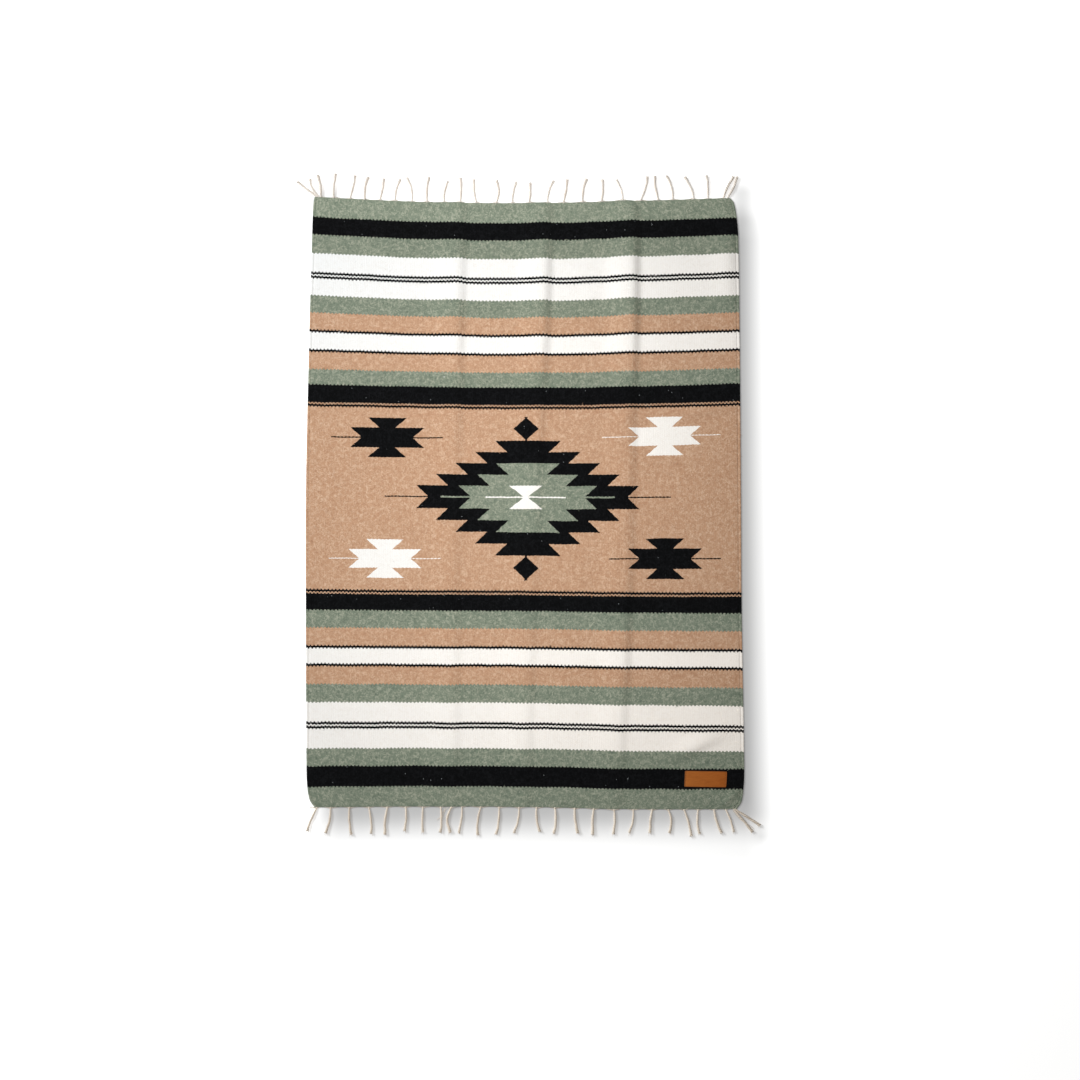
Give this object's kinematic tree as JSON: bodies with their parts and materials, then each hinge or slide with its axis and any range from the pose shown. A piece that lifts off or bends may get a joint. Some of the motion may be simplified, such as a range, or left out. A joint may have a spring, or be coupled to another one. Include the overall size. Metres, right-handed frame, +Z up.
{
  "type": "mexican serape blanket laid flat",
  "caption": "Flat-woven wool serape laid flat, striped, with a stepped diamond, a twisted fringe at each end, soft lengthwise creases and a small bare leather patch.",
  "frame": {"origin": "on the ground, under the middle of the whole serape with its fringes", "axes": "+X across the cloth's width, towards the patch; +Y along its length, away from the patch; +Z up from the ground"},
  "size_m": [1.066, 1.5264, 0.0103],
  "materials": {
    "woven_wool": "weft-faced wool with stripes and a stepped diamond in sage green heather, tan heather, black and off-white, matt with a soft nap",
    "fringe_yarn": "undyed cream warp yarn, plied and twisted",
    "patch_leather": "smooth brown veg-tanned leather with darker cut edges, bare"
  },
  "bodies": {
    "root": {"cloth": "woven_wool", "fringe_top": "fringe_yarn", "fringe_bottom": "fringe_yarn", "leather_patch": "patch_leather"}
  },
  "joints": []
}
